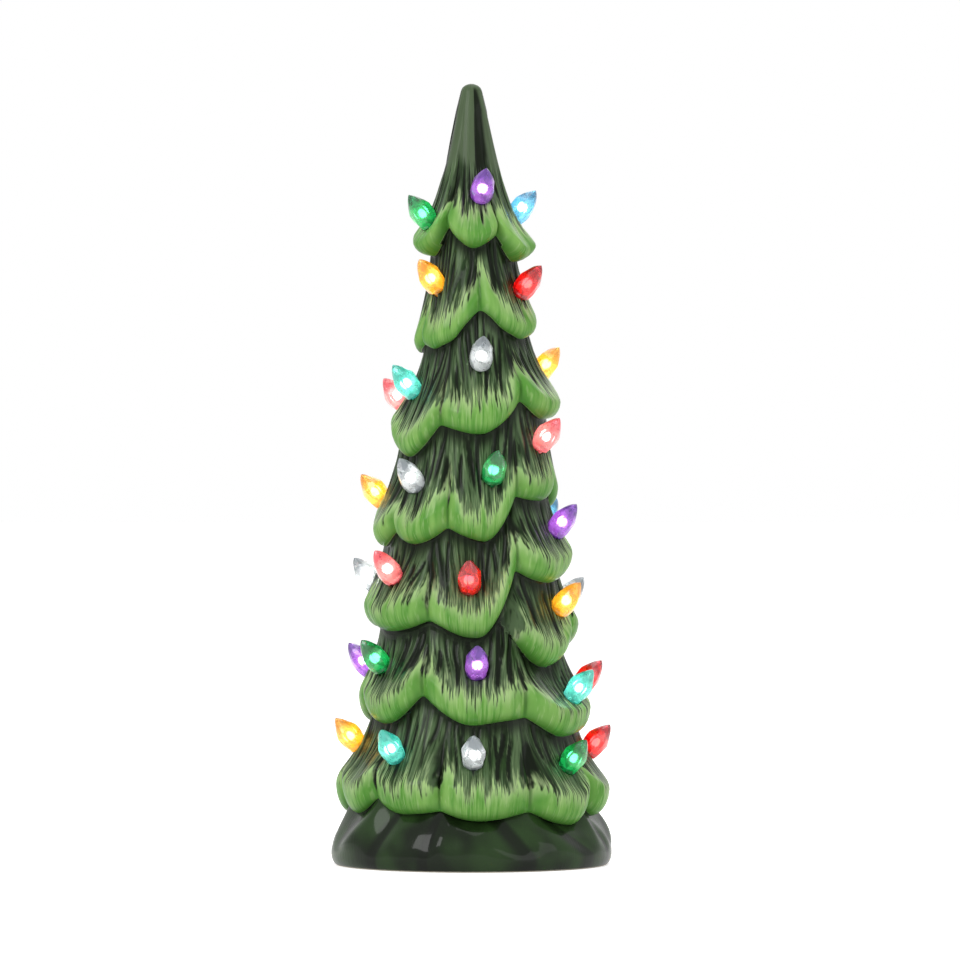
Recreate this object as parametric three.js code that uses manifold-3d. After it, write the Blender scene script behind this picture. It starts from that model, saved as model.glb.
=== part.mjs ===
// Table-top ceramic Christmas tree, 200 mm tall, with plug-in lamp bulbs.
//
// A hollow glazed tree is cast in one piece, with seven and a half rows of drooping boughs over a
// rough mound that it stands on. Faceted plastic bulbs plug into sockets in the boughs. A plastic
// lamp unit closes the foot: it holds two AAA cells, a slide switch and an upright LED board.
//
// Millimetres, +Z up. The origin is on the tree's axis, in the plane of its foot. Azimuth 0 faces -Y,
// and it grows towards +X.
import * as THREE from "three";
import { mergeVertices } from "three/addons/utils/BufferGeometryUtils.js";
import Module from "manifold-3d";

const wasm = await Module();
wasm.setup();

// Clearances
const fit = 0.3; // between parts that seat on or in each other
const cut = 1; // how far a cutting tool runs past what it cuts

// Cells
const cellDiameter = 10.5;
const cellLength = 44.5;
const terminalDiameter = 3.8;
const terminalHeight = 0.8;

// Lamp unit
const plasticWall = 1.2;
const flangeThickness = 1.6;
const flangeSeat = 2.7; // width of the ledge that the flange is glued to
const footRecess = 1; // height of the flange above the table
const contactRoom = 1.5; // between a cell's end and the wall of its bay
const hingeOffset = 0.45; // of the hinge axis past the end of the bay
const hingePinRadius = 0.5;
const hingePinLength = 1.5;
const hingeSpan = 16; // length of the door's hinge barrel
const hingeShoulder = 1.7; // from the hinge axis to where the door takes its full width
const cheekWidth = 1.6;
const latchHeight = 1.2;
const latchThickness = 0.6;
const latchWidth = 7;
const thumbNotchRadius = 4.2;
const thumbNotchDepth = 0.7;

// Ceramic
const treeHeight = 200;
const ceramicWall = 2.6;
const baseRadius = 36;
const baseShoulder = 3.6; // height where the mound is widest
const footBevel = 0.8;
const footInset = 1.3; // of the foot ring from the mound's widest place
const moundFolds = 0.9; // depth of the folds in the mound
const tipRadius = 2.7;
const tipHeight = 1.8; // of the rounded point
const spireRadius = 3.9; // where the spire's straight flank starts
const spireDrop = 6.5; // from the point down to where that flank starts
const spireBore = 14; // solid ceramic between the cavity and the point
const lipShare = 0.22; // from a bough's widest place down to its edge, as a share of its row's radius
const lipTurn = 0.3; // share of that height where the lip turns under
const lipFoot = 0.6; // how far the turned-under edge stands out from the crease below it
const notchDepth = 0.5; // share of a bough's overhang that is lost in the notch beside it
const tuck = 0.3; // the crease starts this far up under the lip
const partDrop = 2; // from the row above down to a part row that has faded out

// Bulbs
const pegRadius = 1.5;
const pegLength = 4.5;
const shoulderRadius = 2.6;
const bellyRadius = 3.3;
const bulbLength = 9.8;
const bulbSink = 0.8; // how deep the shoulder sits in its socket
const bulbRise = 50; // degrees above the horizon
const bulbSides = 6;
const socketReach = 12.5; // of the light hole behind the shoulder

// Switch
const switchPlace = 19.5; // from the tree's axis
const knobLength = 3.4;
const knobWidth = 2.2;
const knobTravel = 3;
const knobProud = 0.7; // how far the knob stands out of the flange
const knobFoot = 0.9;
const switchWidth = 5.4;
const switchHeight = 3.6;
const railWidth = 1.4;

// Electronics
const boardThickness = 1.2;
const boardWidth = 17;
const boardPegRadius = 1;
const boardPegHeight = 0.8; // above the board
const ledBoardWidth = 8;
const ledBoardTop = 0.63 * treeHeight;
const ledSize = 5;
const ledThickness = 1.6;
const ledHeights = [0.22, 0.35, 0.48, 0.59].map((share) => share * treeHeight);
const stripThickness = 0.4; // of the contact metal
const contactWidth = 7.6;
const contactHeight = 8;
const contactBulge = 0.7;
const tailWidth = 2.4;
const leadThickness = 1;

// Derived sizes of the casting
const footRadius = baseRadius - footInset;
const spireTop = treeHeight - spireDrop;

// Derived sizes of the lamp unit
const bayLength = cellLength + 2 * contactRoom;
const bayWidth = 2 * cellDiameter + 3 * fit;
const bayRadius = Math.hypot(bayLength / 2, bayWidth / 2) + plasticWall;
const shaftRadius = bayRadius + 2 * fit; // the ceramic's bore round the battery bay
const flangeRadius = shaftRadius + flangeSeat - fit;
const flangeTop = footRecess + flangeThickness;
const doorLedge = flangeTop + fit;
const cellAxis = doorLedge + cellDiameter / 2;
const bayTop = cellAxis + cellDiameter / 2 + fit;
const roofTop = bayTop + plasticWall;
const cellOffset = (cellDiameter + fit) / 2;
const boardBottom = roofTop + fit;
const boardTop = boardBottom + boardThickness;
const boardLength = bayLength + plasticWall;

// The rows of boughs, from the top down. Radii are in hundredths of the base's radius, and heights in
// hundredths of the tree's height. lip is a row's outer radius, crease the radius of the bark below it,
// sway how far the row is cast off the axis towards +X. A bough is [azimuth, height of its edge, rise of
// the edge towards the next bough], with a fourth number where it reaches out more or less than its
// row. A bulb is [azimuth, share of the way down the row's flank, colour].
const rows = [
  {
    lip: 45.6,
    crease: 30,
    sway: 1.9,
    boughs: [
      [-62, 77.7, 2.5],
      [3, 78.7, 1.6],
      [60, 77.1, 0.9],
      [142, 78, 2],
      [220, 77.5, 2],
    ],
    bulbs: [
      [-65, 0.85, "green"],
      [14, 0.72, "purple"],
      [107, 0.85, "blue"],
      [158, 0.75, "red"],
      [206, 0.77, "amber"],
    ],
  },
  {
    lip: 44.4,
    crease: 36.7,
    sway: 3.6,
    boughs: [
      [-95, 65.5, 0.5],
      [-42, 66, 3.6],
      [60, 67.2, 2],
      [140, 66, 2.5],
      [205, 67, 2.5],
    ],
    bulbs: [
      [-49, 0.44, "amber"],
      [68, 0.51, "red"],
      [140, 0.51, "green"],
      [210, 0.46, "white"],
    ],
  },
  {
    lip: 62.2,
    crease: 51.1,
    sway: 2.5,
    boughs: [
      [-56, 52.2, 1.1],
      [8, 55, 2.3],
      [70, 56.8, 1.5],
      [136, 55, 2],
      [190, 53, 2],
      [238, 53.5, 2],
    ],
    bulbs: [
      [-110, 0.76, "pink"],
      [-67, 0.54, "aqua"],
      [8, 0.52, "white"],
      [110, 0.64, "amber"],
      [180, 0.6, "blue"],
    ],
  },
  {
    lip: 66.7,
    crease: 56.7,
    sway: -4.4,
    boughs: [
      [-78, 40.6, 1.6],
      [-40, 41, 1.7],
      [8, 41.4, 0.5],
      [60, 46.5, 1.5],
      [104, 45.5, 2],
      [155, 43, 2],
      [205, 42.5, 2],
      [243, 41.5, 2],
    ],
    bulbs: [
      [-104, 0.86, "amber"],
      [-44, 0.49, "white"],
      [15, 0.55, "green"],
      [60, 0.45, "pink"],
      [128, 0.51, "purple"],
      [192, 0.56, "red"],
    ],
  },
  {
    lip: 76.4,
    crease: 62.5,
    sway: -2.5,
    boughs: [
      [-58, 29.9, 1.4],
      [4, 29.2, 1.5],
      [55, 36.1, 3],
      [146, 34, 2],
      [197, 31, 2],
      [249, 30, 1.5],
    ],
    bulbs: [
      [-106, 0.72, "white"],
      [-54, 0.58, "pink"],
      [-1, 0.65, "red"],
      [71, 0.59, "purple"],
      [126, 0.43, "blue"],
      [185, 0.57, "aqua"],
    ],
  },
  {
    lip: 76.7,
    crease: 61.1,
    sway: 1.4,
    from: 22,
    to: 206,
    boughs: [
      [-6, 36, -6.2],
      [52, 25.4, 1.8],
      [110, 27.5, 1.5],
      [165, 23.5, 3],
      [228, 28, 0],
    ],
    bulbs: [
      [67, 0.56, "amber"],
      [110, 0.63, "white"],
      [160, 0.57, "green"],
    ],
  },
  {
    lip: 85,
    crease: 72.2,
    sway: 3.1,
    boughs: [
      [-56, 18.2, 3.5],
      [1, 18.3, 0.9],
      [58, 16.6, 1.5],
      [128, 16.5, 1.5],
      [172, 16, 2],
      [215, 17.5, 2],
      [253, 18, 2],
    ],
    bulbs: [
      [-99, 0.6, "purple"],
      [-63, 0.5, "green"],
      [3, 0.51, "purple"],
      [65, 0.75, "aqua"],
      [97, 0.81, "red"],
      [148, 0.73, "amber"],
      [208, 0.55, "pink"],
    ],
  },
  {
    lip: 97.8,
    sway: 0,
    boughs: [
      [-66, 6.8, 1.9, -2.2],
      [-32, 7, 0.5],
      [3, 6.3, 1],
      [52, 5.5, 1.5, 0.8],
      [78, 6.2, 1.5, 1.4],
      [122, 6.5, 2],
      [160, 6, 2],
      [195, 6.8, 2],
      [230, 6.2, 2],
      [262, 6.5, 2],
    ],
    bulbs: [
      [-84, 0.62, "amber"],
      [-39, 0.65, "aqua"],
      [1, 0.57, "white"],
      [54, 0.53, "green"],
      [96, 0.57, "red"],
      [150, 0.59, "purple"],
      [215, 0.62, "blue"],
    ],
  },
].map(({ lip, crease, sway, boughs, ...rest }) => ({
  ...rest,
  lip: (lip * baseRadius) / 100,
  crease: crease ? (crease * baseRadius) / 100 : shaftRadius + ceramicWall,
  sway: (sway * baseRadius) / 100,
  boughs: boughs.map(([azimuth, edge, rise, reach = 0]) => ({
    azimuth,
    edge: (edge * treeHeight) / 100,
    rise: (rise * treeHeight) / 100,
    reach: (reach * baseRadius) / 100,
  })),
}));
const columns = 48; // facets round the tree
const spireShares = [0, 0.36, 0.7, 1];
const flankShares = [0, 0.55, 1];
const fadeAngle = 12; // degrees over which a part row swells out of the bark
const roundSides = 40;

const fullTurn = 360;
const radians = THREE.MathUtils.degToRad;
const lerp = THREE.MathUtils.lerp;
const smoothstep = THREE.MathUtils.smoothstep;

// Where an azimuth lies in a row: its two boughs and the share of the gap between them.
function gapAt(row, azimuth) {
  const boughs = row.boughs;
  const first = boughs[0].azimuth;
  const turn = (azimuth - first + fullTurn) % fullTurn;
  let i = boughs.length - 1;
  while (boughs[i].azimuth - first > turn) i--;
  const left = boughs[i];
  const right = boughs[(i + 1) % boughs.length];
  const span = (right.azimuth - left.azimuth + fullTurn) % fullTurn;
  return { left, right, share: (turn - (left.azimuth - first)) / span };
}

// The edge of a row at an azimuth: its height, and how far the bough there reaches out of the row.
function edgeAt(row, azimuth) {
  const { left, right, share } = gapAt(row, azimuth);
  const near = share < 0.5 ? left : right;
  const towardsNotch = 1 - Math.abs(1 - 2 * share);
  const notch = Math.max(left.edge, right.edge) + left.rise;
  const height = lerp(near.edge, notch, towardsNotch ** 1.9);
  const reach = lerp(near.reach, (left.reach + right.reach) / 2, towardsNotch);
  return { height, reach, towardsNotch };
}

// 1 where a row is there in full, 0 where it has faded out.
function presence(row, azimuth) {
  if (row.from === undefined) return 1;
  const middle = (row.from + row.to) / 2;
  const away = Math.abs(((azimuth - middle + 1.5 * fullTurn) % fullTurn) - fullTurn / 2);
  return 1 - smoothstep(away, (row.to - row.from) / 2 - fadeAngle, (row.to - row.from) / 2);
}

// Edge height, lip radius and crease radius of row i at an azimuth. Where a part row has faded out it
// clings to the crease above it.
function rowAt(i, azimuth) {
  const row = rows[i];
  const edge = edgeAt(row, azimuth);
  const sway = row.sway * Math.sin(radians(azimuth));
  const crease = row.crease + 0.8 * sway;
  const lip = lerp(row.lip + edge.reach + sway, crease, notchDepth * edge.towardsNotch ** 3);
  const there = presence(row, azimuth);
  if (there === 1) return { height: edge.height, lip, crease };
  const above = rowAt(i - 1, azimuth);
  return {
    height: Math.min(edge.height, above.height - partDrop),
    lip: lerp(above.crease + 0.2, lip, there),
    crease: lerp(above.crease + 0.1, crease, there),
  };
}

// A point [radius, height] on the flank of row i, share 0 at the crease above and 1 at the lip.
function flankAt(i, azimuth, share) {
  const here = rowAt(i, azimuth);
  const above = i ? rowAt(i - 1, azimuth) : { crease: spireRadius, height: spireTop };
  const top = above.height + (i ? tuck : 0);
  const lipTop = here.height + Math.min(lipShare * rows[i].lip, 0.45 * (top - here.height));
  const swell = i ? 0.45 * share + 0.55 * share ** 2 : 0.62 * share + 0.38 * share ** 6;
  return [lerp(above.crease, here.lip, swell), lerp(top, lipTop, share)];
}

// The profile of the tree at an azimuth, from below its point to the foot.
function profileAt(azimuth) {
  const profile = [[tipRadius, treeHeight - tipHeight]];
  rows.forEach((row, i) => {
    const { height, lip, crease } = rowAt(i, azimuth);
    const shares = i ? flankShares : spireShares;
    shares.forEach((share) => profile.push(flankAt(i, azimuth, share)));
    const lipTop = profile.at(-1)[1];
    const foot = Math.min(crease + lipFoot, lip);
    profile.push([lerp(lip, foot, 0.3), lerp(height, lipTop, lipTurn)], [foot, height]);
  });
  return [...profile, ...moundAt(azimuth)];
}

// The mound below the last row, with broad folds like those of a draped skirt.
function moundAt(azimuth) {
  const { height, crease } = rowAt(rows.length - 1, azimuth);
  const a = radians(azimuth);
  const fold = 0.6 * Math.cos(7 * a + 0.8) + 0.4 * Math.cos(11 * a - 1.1);
  const flare = [0, 0.2, 0.45, 0.7, 1].map((share) => [
    lerp(crease, baseRadius, Math.sin((share * Math.PI) / 2)) + moundFolds * fold * 4 * share * (1 - share),
    lerp(height + tuck, baseShoulder, share),
  ]);
  return [...flare, [lerp(baseRadius, footRadius, 0.3), footBevel], [footRadius, 0]];
}

// Solids

function solid(geometry) {
  const bare = geometry.clone();
  bare.deleteAttribute("normal");
  bare.deleteAttribute("uv");
  const merged = mergeVertices(bare, 1e-4);
  return new wasm.Manifold(
    new wasm.Mesh({
      numProp: 3,
      vertProperties: merged.attributes.position.array,
      triVerts: new Uint32Array(merged.index.array),
    }),
  );
}

function geometryOf(body) {
  const mesh = body.getMesh();
  const geometry = new THREE.BufferGeometry();
  geometry.setAttribute("position", new THREE.BufferAttribute(mesh.vertProperties, 3));
  geometry.setIndex(new THREE.BufferAttribute(mesh.triVerts, 1));
  return geometry;
}

// A box between two corners.
function block(low, high) {
  const size = high.map((value, k) => value - low[k]);
  const geometry = new THREE.BoxGeometry(...size);
  return solid(geometry.translate(...low.map((value, k) => value + size[k] / 2)));
}

// A solid of revolution about Z. The profile runs from its lowest point on the axis to its highest.
function turned(profile, sides) {
  const points = profile.map(([radius, height]) => new THREE.Vector2(radius, height));
  return new THREE.LatheGeometry(points, sides).rotateX(Math.PI / 2);
}

function disc(radius, bottom, top, sides) {
  return solid(turned([[0, bottom], [radius, bottom], [radius, top], [0, top]], sides));
}

// A round bar along Y.
function bar(radius, x, z, from, to, sides) {
  const geometry = new THREE.CylinderGeometry(radius, radius, to - from, sides);
  return solid(geometry.translate(x, (from + to) / 2, z));
}

// Closes a stack of rings of points, each ring as long as the next, between two end points.
function skin(rings, firstEnd, lastEnd) {
  const count = rings[0].length;
  const positions = [firstEnd, ...rings.flat(), lastEnd].flat();
  const index = [];
  const at = (ring, k) => 1 + ring * count + (k % count);
  for (let k = 0; k < count; k++) {
    index.push(0, at(0, k), at(0, k + 1));
    index.push(1 + rings.length * count, at(rings.length - 1, k + 1), at(rings.length - 1, k));
  }
  for (let ring = 0; ring + 1 < rings.length; ring++) {
    for (let k = 0; k < count; k++) {
      index.push(at(ring, k), at(ring + 1, k), at(ring + 1, k + 1));
      index.push(at(ring, k), at(ring + 1, k + 1), at(ring, k + 1));
    }
  }
  const geometry = new THREE.BufferGeometry();
  geometry.setAttribute("position", new THREE.Float32BufferAttribute(positions, 3));
  geometry.setIndex(index);
  return geometry;
}

function outerTree() {
  const azimuths = Array.from({ length: columns }, (_, k) => (k * fullTurn) / columns);
  const profiles = azimuths.map(profileAt);
  const rings = profiles[0].map((_, level) =>
    profiles.map((profile, k) => {
      const [radius, height] = profile[level];
      const a = radians(azimuths[k]);
      return [radius * Math.sin(a), -radius * Math.cos(a), height];
    }),
  );
  return solid(skin(rings, [0, 0, treeHeight], [0, 0, 0]));
}

// The space inside: a recess for the flange, a bore round the battery bay, and a tapering cavity that
// stays a wall's thickness inside every crease.
function cavity() {
  const profile = [
    [0, 0],
    [shaftRadius, 0],
  ];
  let widest = shaftRadius;
  for (const row of [...rows].reverse()) {
    widest = Math.min(widest, row.crease - Math.abs(row.sway) - ceramicWall);
    const edges = row.boughs.map((bough) => bough.edge);
    const notches = row.boughs.map((bough) => bough.edge + bough.rise);
    const low = Math.max(profile.at(-1)[1] + 0.1, Math.min(...edges));
    profile.push([widest, low], [widest, Math.max(low + 0.1, ...notches)]);
  }
  const spireInside = treeHeight - spireBore;
  profile.push([spireRadius + 1.6 - ceramicWall, spireInside], [0, spireInside]);
  const recess = disc(flangeRadius + fit, -cut, flangeTop + fit, roundSides);
  return solid(turned(profile, 20)).add(recess);
}

const bulbProfile = [
  [0, -pegLength],
  [pegRadius, -pegLength],
  [pegRadius, 0],
  [shoulderRadius, 0.5],
  [bellyRadius, 0.32 * bulbLength],
  [bellyRadius * 0.66, 0.74 * bulbLength],
  [0, bulbLength],
];

// The hole for a bulb: its peg's bore runs on into the cavity as a light hole.
const socketProfile = [
  [0, -socketReach],
  [pegRadius + fit, -socketReach],
  [pegRadius + fit, -fit],
  [shoulderRadius + fit, 0.5 - fit],
  [bellyRadius + fit, 0.5 * bulbLength],
  [0, 0.5 * bulbLength],
];

// A bulb's place: its shoulder sits on the flank, its axis leans out of the tree.
function bulbPlace(rowIndex, azimuth, share) {
  const [radius, height] = flankAt(rowIndex, azimuth, share);
  const a = radians(azimuth);
  const rise = radians(bulbRise);
  const axis = new THREE.Vector3(
    Math.sin(a) * Math.cos(rise),
    -Math.cos(a) * Math.cos(rise),
    Math.sin(rise),
  );
  const seat = new THREE.Vector3(radius * Math.sin(a), -radius * Math.cos(a), height);
  seat.addScaledVector(axis, -bulbSink);
  const turn = new THREE.Quaternion().setFromUnitVectors(new THREE.Vector3(0, 0, 1), axis);
  return new THREE.Matrix4().compose(seat, turn, new THREE.Vector3(1, 1, 1));
}

function allBulbs() {
  return rows.flatMap((row, i) =>
    row.bulbs.map(([azimuth, share, colour], k) => ({
      name: `bulb_row${i + 1}_${k + 1}_${colour}`,
      colour,
      place: bulbPlace(i, azimuth, share),
    })),
  );
}

function treeShell() {
  let shell = outerTree().subtract(cavity());
  for (const bulb of allBulbs()) {
    const socket = turned(socketProfile, bulbSides).applyMatrix4(bulb.place);
    shell = shell.subtract(solid(socket));
  }
  return geometryOf(shell);
}

// Lamp unit

const hinge = { x: -bayLength / 2 - hingeOffset, z: footRecess + flangeThickness / 2 };
const windowEnd = bayLength / 2 + plasticWall / 2;
const windowSide = bayWidth / 2 + plasticWall / 2;
const barrelRadius = flangeThickness / 2;
const barrelEnd = hingeSpan / 2;
const slotHalf = knobLength / 2 + knobTravel / 2 + fit;
const knobEar = 1.5; // how far the knob's foot reaches past the knob along its travel
const railStart = (knobLength + knobTravel) / 2 + knobEar + fit;
const switchBottom = doorLedge + knobFoot + fit;
const pinsTop = switchBottom + switchHeight + 2;
const pinPitch = 2.5;

function thumbNotch() {
  return disc(thumbNotchRadius, footRecess - cut, footRecess + thumbNotchDepth, 20).translate([
    windowEnd,
    0,
    0,
  ]);
}

function lampHousing() {
  const flange = disc(flangeRadius, footRecess, flangeTop, roundSides);
  const shaft = disc(bayRadius, footRecess, roofTop, roundSides);
  const outer = [bayLength / 2 + plasticWall, bayWidth / 2 + plasticWall];
  const bay = block([-outer[0], -outer[1], footRecess], [outer[0], outer[1], roofTop]);
  let housing = flange.add(bay.intersect(shaft));
  for (const side of [-1, 1]) {
    const cheek = [barrelEnd + fit, barrelEnd + fit + cheekWidth].map((y) => y * side).sort((a, b) => a - b);
    const cheekLow = [hinge.x - 1.7, cheek[0], footRecess];
    const cheekHigh = [hinge.x + hingeShoulder, cheek[1], flangeTop + 0.6];
    housing = housing.add(block(cheekLow, cheekHigh).intersect(shaft));
    const rail = [railStart, railStart + railWidth].map((x) => x * side).sort((a, b) => a - b);
    housing = housing.add(
      block(
        [rail[0], switchPlace - switchWidth / 2, flangeTop - 0.4],
        [rail[1], switchPlace + switchWidth / 2, doorLedge + knobFoot],
      ),
    );
    housing = housing.add(boardPeg(side, boardPegRadius, roofTop - 0.4, boardTop + boardPegHeight));
  }
  const halfBay = [bayLength / 2, bayWidth / 2];
  const cuts = [
    block([-halfBay[0], -halfBay[1], doorLedge - cut / 2], [halfBay[0], halfBay[1], bayTop]),
    block([hinge.x + hingeShoulder, -windowSide, 0], [windowEnd, windowSide, doorLedge]),
    block(
      [hinge.x - barrelRadius - fit, -barrelEnd - fit, 0],
      [hinge.x + hingeShoulder + cut / 2, barrelEnd + fit, doorLedge],
    ),
    bar(
      hingePinRadius + fit,
      hinge.x,
      hinge.z,
      -barrelEnd - hingePinLength,
      barrelEnd + hingePinLength,
      12,
    ),
    block(
      [-slotHalf, switchPlace - knobWidth / 2 - fit, 0],
      [slotHalf, switchPlace + knobWidth / 2 + fit, doorLedge],
    ),
    thumbNotch(),
    ...[-1, 1].map((side) => tail(side, fit, bayTop - cut, roofTop + cut)),
  ];
  for (const tool of cuts) housing = housing.subtract(tool);
  return geometryOf(housing);
}

function boardPeg(side, radius, bottom, top) {
  return disc(radius, bottom, top, 12).translate([side * 15, side * 5, 0]);
}

// The solder tail of one of the two end contacts, or the slot for it where grow is a clearance.
function tail(side, grow, bottom, top) {
  const back = bayLength / 2 - fit / 2;
  const y = side * cellOffset;
  return block(
    [back - stripThickness - grow, y - tailWidth / 2 - grow, bottom],
    [back + (grow ? fit / 2 : 0), y + tailWidth / 2 + grow, top],
  );
}

function batteryDoor() {
  const low = footRecess;
  const end = windowEnd - fit;
  const side = windowSide - fit;
  let door = bar(barrelRadius, hinge.x, hinge.z, -barrelEnd, barrelEnd, 12);
  door = door.add(block([hinge.x, -barrelEnd, low], [end, barrelEnd, flangeTop]));
  door = door.add(block([hinge.x + hingeShoulder + fit, -side, low], [end, side, flangeTop]));
  door = door.add(
    bar(
      hingePinRadius,
      hinge.x,
      hinge.z,
      -barrelEnd - hingePinLength + fit,
      barrelEnd + hingePinLength - fit,
      12,
    ),
  );
  const latch = bayLength / 2 - fit;
  door = door.add(
    block(
      [latch - latchThickness, -latchWidth / 2, flangeTop - 0.4],
      [latch, latchWidth / 2, flangeTop + latchHeight],
    ),
  );
  for (const edge of [-1, 1]) {
    const y = edge * (latchWidth / 2 + 0.9);
    door = door.subtract(block([end - 9, y - 0.35, 0], [end + cut, y + 0.35, flangeTop + cut]));
  }
  for (const rib of [0, 1, 2]) {
    const x = end - 13 - 1.8 * rib;
    door = door.subtract(block([x, -5, 0], [x + 0.7, 5, low + 0.4]));
  }
  return geometryOf(door.subtract(thumbNotch()));
}

function switchKnob() {
  const y = switchPlace;
  const x = -knobTravel / 2; // at rest the switch is on, at the -X end of its slot
  const top = switchBottom + switchHeight / 2;
  let knob = block(
    [x - knobLength / 2, y - knobWidth / 2, footRecess - knobProud],
    [x + knobLength / 2, y + knobWidth / 2, doorLedge + 0.2],
  );
  knob = knob.add(
    block(
      [x - knobLength / 2 - knobEar, y - knobWidth / 2 - 1, doorLedge],
      [x + knobLength / 2 + knobEar, y + knobWidth / 2 + 1, doorLedge + knobFoot - fit],
    ),
  );
  return geometryOf(knob.add(block([x - 0.8, y - 0.8, doorLedge], [x + 0.8, y + 0.8, top])));
}

function switchBody() {
  const end = railStart + railWidth;
  const top = switchBottom + switchHeight;
  const y = switchPlace;
  const side = switchWidth / 2;
  const can = block([-end, y - side, switchBottom], [end, y + side, top]);
  const run = 0.8 + knobTravel / 2 + fit;
  const slot = block(
    [-run, y - 0.8 - fit, switchBottom - cut],
    [run, y + 0.8 + fit, top - switchHeight / 4],
  );
  let body = can.subtract(slot);
  for (const pin of [-pinPitch, 0, pinPitch]) {
    body = body.add(block([pin - 0.3, y - 0.5, top - 0.4], [pin + 0.3, y + 0.5, pinsTop]));
  }
  return geometryOf(body);
}

// The two-core ribbon lead that arches from the switch's pins over to the circuit board.
function switchLead() {
  const landing = boardWidth / 2 - leadThickness;
  const middle = (switchPlace + landing) / 2;
  const radius = switchPlace - middle;
  const spring = boardTop + 1;
  const inner = radius - leadThickness / 2;
  const outer = radius + leadThickness / 2;
  const shape = new THREE.Shape();
  shape.moveTo(middle + outer, pinsTop + fit);
  shape.absarc(middle, spring, outer, 0, Math.PI, false);
  shape.lineTo(middle - outer, boardTop + fit);
  shape.lineTo(middle - inner, boardTop + fit);
  shape.absarc(middle, spring, inner, Math.PI, 0, true);
  shape.lineTo(middle + inner, pinsTop + fit);
  const ribbon = new THREE.ExtrudeGeometry(shape, {
    depth: pinPitch + 1,
    bevelEnabled: false,
    curveSegments: 7,
  });
  ribbon.rotateX(Math.PI / 2).rotateZ(Math.PI / 2).translate(-pinPitch - 0.5, 0, 0);
  return geometryOf(solid(ribbon));
}

function circuitBoard() {
  const half = [boardLength / 2, boardWidth / 2];
  let board = block([-half[0], -half[1], boardBottom], [half[0], half[1], boardTop]);
  const slot = [ledBoardWidth / 2 + fit, boardThickness / 2 + fit];
  board = board.subtract(block([-slot[0], -slot[1], boardBottom - cut], [slot[0], slot[1], boardTop + cut]));
  for (const side of [-1, 1]) {
    board = board.subtract(boardPeg(side, boardPegRadius + fit, boardBottom - cut, boardTop + cut));
    board = board.subtract(tail(side, fit, boardBottom - cut, boardTop + cut));
  }
  return geometryOf(board);
}

function ledBoard() {
  const half = [ledBoardWidth / 2, boardThickness / 2];
  const foot = block([-half[0], -half[1], boardBottom], [half[0], half[1], ledBoardTop]);
  return geometryOf(foot);
}

// A surface-mounted LED with a domed lens, facing +Y or -Y.
function led(height, side) {
  const near = side * (boardThickness / 2 + fit);
  const far = near + side * ledThickness * 0.6;
  const y = [near, far].sort((a, b) => a - b);
  const body = block([-ledSize / 2, y[0], height - ledSize / 2], [ledSize / 2, y[1], height + ledSize / 2]);
  const dome = new THREE.SphereGeometry(ledSize * 0.42, 10, 8);
  dome.scale(1, (ledThickness * 0.8) / ledSize, 1).translate(0, far, height);
  return geometryOf(body.add(solid(dome)));
}

function cell(side) {
  const radius = cellDiameter / 2;
  const half = cellLength / 2;
  const profile = [
    [0, -half],
    [radius * 0.72, -half],
    [radius * 0.8, -half + 0.3],
    [radius - 0.2, -half + 0.3],
    [radius, -half + 0.7],
    [radius, half - terminalHeight - 0.6],
    [radius - 0.4, half - terminalHeight],
    [terminalDiameter / 2, half - terminalHeight],
    [terminalDiameter / 2, half],
    [0, half],
  ];
  const geometry = turned(profile, 16).rotateY((side * Math.PI) / 2);
  return geometryOf(solid(geometry.translate(0, side * cellOffset, cellAxis)));
}

// A pressed contact plate at one end of the bay, with a sprung ridge that bears on the cells.
function contact(end, from, to) {
  const back = bayLength / 2 - fit / 2;
  const low = cellAxis - contactHeight / 2;
  const high = cellAxis + contactHeight / 2;
  const face = back - stripThickness;
  const outline = [
    [back, low],
    [back, high],
    [face, high],
    [face, cellAxis + 2],
    [face - contactBulge, cellAxis],
    [face, cellAxis - 2],
    [face, low],
  ];
  const shape = new THREE.Shape(outline.map(([x, z]) => new THREE.Vector2(x, z)));
  const plate = new THREE.ExtrudeGeometry(shape, { depth: to - from, bevelEnabled: false });
  plate.rotateX(Math.PI / 2).translate(0, to, 0);
  return solid(end > 0 ? plate : plate.rotateZ(Math.PI).translate(0, from + to, 0));
}

function endContact(side) {
  const middle = side * cellOffset;
  const plate = contact(1, middle - contactWidth / 2, middle + contactWidth / 2);
  return geometryOf(plate.add(tail(side, 0, cellAxis, boardTop + 0.8)));
}

function linkContact() {
  const half = cellOffset + contactWidth / 2;
  return geometryOf(contact(-1, -half, half));
}

// Materials

function finish(colour, roughness, metalness = 0, more = {}) {
  return new THREE.MeshStandardMaterial({ color: colour, roughness, metalness, ...more });
}

const lit = { transparent: true, opacity: 0.85 };
const bulbFinishes = {
  green: finish(0x0fa34d, 0.12, 0, lit),
  purple: finish(0x7d3fb0, 0.12, 0, lit),
  blue: finish(0x4fb3dc, 0.12, 0, lit),
  amber: finish(0xeaa21c, 0.12, 0, lit),
  red: finish(0xe01f1f, 0.12, 0, lit),
  white: finish(0xf4f6f6, 0.12, 0, lit),
  aqua: finish(0x58d5cf, 0.12, 0, lit),
  pink: finish(0xf07c80, 0.12, 0, lit),
};
const glaze = finish(0x3f6b35, 0.18);
const whitePlastic = finish(0xe9e7e0, 0.5);
const blackPlastic = finish(0x1d1d1f, 0.45);
const boardGreen = finish(0x1f5a37, 0.5);
const ledWhite = finish(0xf7f4dc, 0.3);
const leadGrey = finish(0x8d8f92, 0.55);
const tinned = finish(0xc8c8c4, 0.3, 1);
const cellJacket = finish(0xb9bec2, 0.3, 0.6);

const tree = new THREE.Group();

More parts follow.
